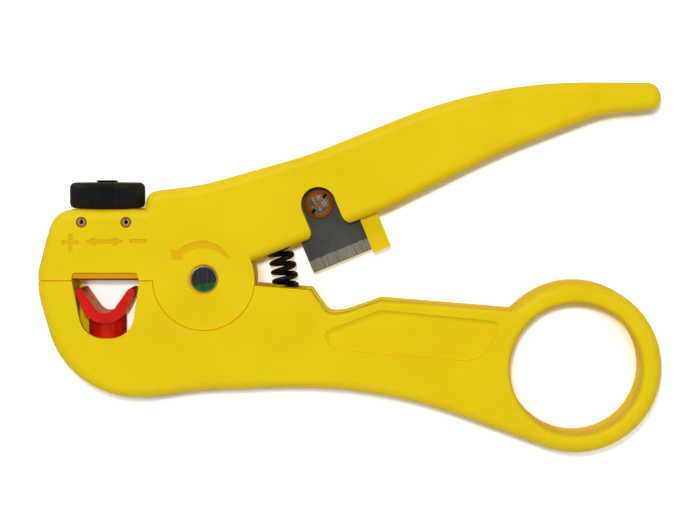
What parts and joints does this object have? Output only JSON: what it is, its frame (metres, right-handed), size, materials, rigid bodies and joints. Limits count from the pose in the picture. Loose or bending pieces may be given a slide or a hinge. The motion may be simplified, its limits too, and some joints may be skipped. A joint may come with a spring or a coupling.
{
  "type": "cable stripper",
  "caption": "Hand-held cable stripper and cutter with two moulded arms on a pivot, a sprung V cradle, a knurled depth knob, a flat cutter blade and a finger ring.",
  "frame": {"origin": "on the pivot's axis, in the plane of the back face on which the tool lies", "axes": "+X along the handles away from the jaws, +Y towards the upper arm, +Z out of the front face"},
  "size_m": [0.1273, 0.0754, 0.018],
  "materials": {
    "yellow_moulding": "satin moulded yellow plastic",
    "red_moulding": "glossy moulded red plastic",
    "black_moulding": "knurled black plastic",
    "carrier_moulding": "plain dark plastic",
    "black_steel": "black oxide spring steel",
    "blade_steel": "dark hardened steel with a ground edge",
    "bright_steel": "plain steel",
    "chrome": "nickel-plated screw",
    "brass": "machined brass"
  },
  "bodies": {
    "lower": {"lower_arm": "yellow_moulding", "pivot_pin": "bright_steel", "cradle_spring": "black_steel", "arm_spring": "black_steel"},
    "upper": {"upper_arm": "yellow_moulding", "knob_pin_left": "bright_steel", "knob_pin_right": "bright_steel", "cutter_blade": "blade_steel", "cutter_screw": "chrome", "cutter_nut": "brass"},
    "knob": {"depth_knob": "black_moulding", "knob_insert": "brass"},
    "carriage": {"blade_carrier": "carrier_moulding", "adjuster_stud": "black_steel", "strip_blade": "blade_steel", "blade_clamp": "bright_steel", "clamp_screw_left": "bright_steel", "clamp_screw_right": "bright_steel"},
    "rest_cradle": {"cradle": "red_moulding"}
  },
  "joints": [
    {"name": "handle_pivot", "type": "hinge", "parent": "lower", "child": "upper", "pos_m": [0, 0, 0.009], "axis": [0, 0, 1], "range_deg": [-22, 0], "stiffness_Nm_per_rad": 0.25, "springref_deg": 9.74, "deforming": ["arm_spring"]},
    {"name": "depth_knob_turn", "type": "hinge", "parent": "upper", "child": "knob", "pos_m": [-0.02035, 0.017, 0.009], "axis": [0, 1, 0], "range_deg": [0, 1575]},
    {"name": "blade_slide", "type": "slide", "parent": "upper", "child": "carriage", "axis": [0, -1, 0], "range_m": [0, 0.0035]},
    {"name": "cradle_slide", "type": "slide", "parent": "lower", "child": "rest_cradle", "axis": [0, -1, 0], "range_m": [0, 0.003], "stiffness_N_per_m": 600, "springref_m": -0.0002, "deforming": ["cradle_spring"]}
  ],
  "couplings": [
    {"joint": "depth_knob_turn", "follows": "blade_slide", "rad_per_m": 7854}
  ]
}
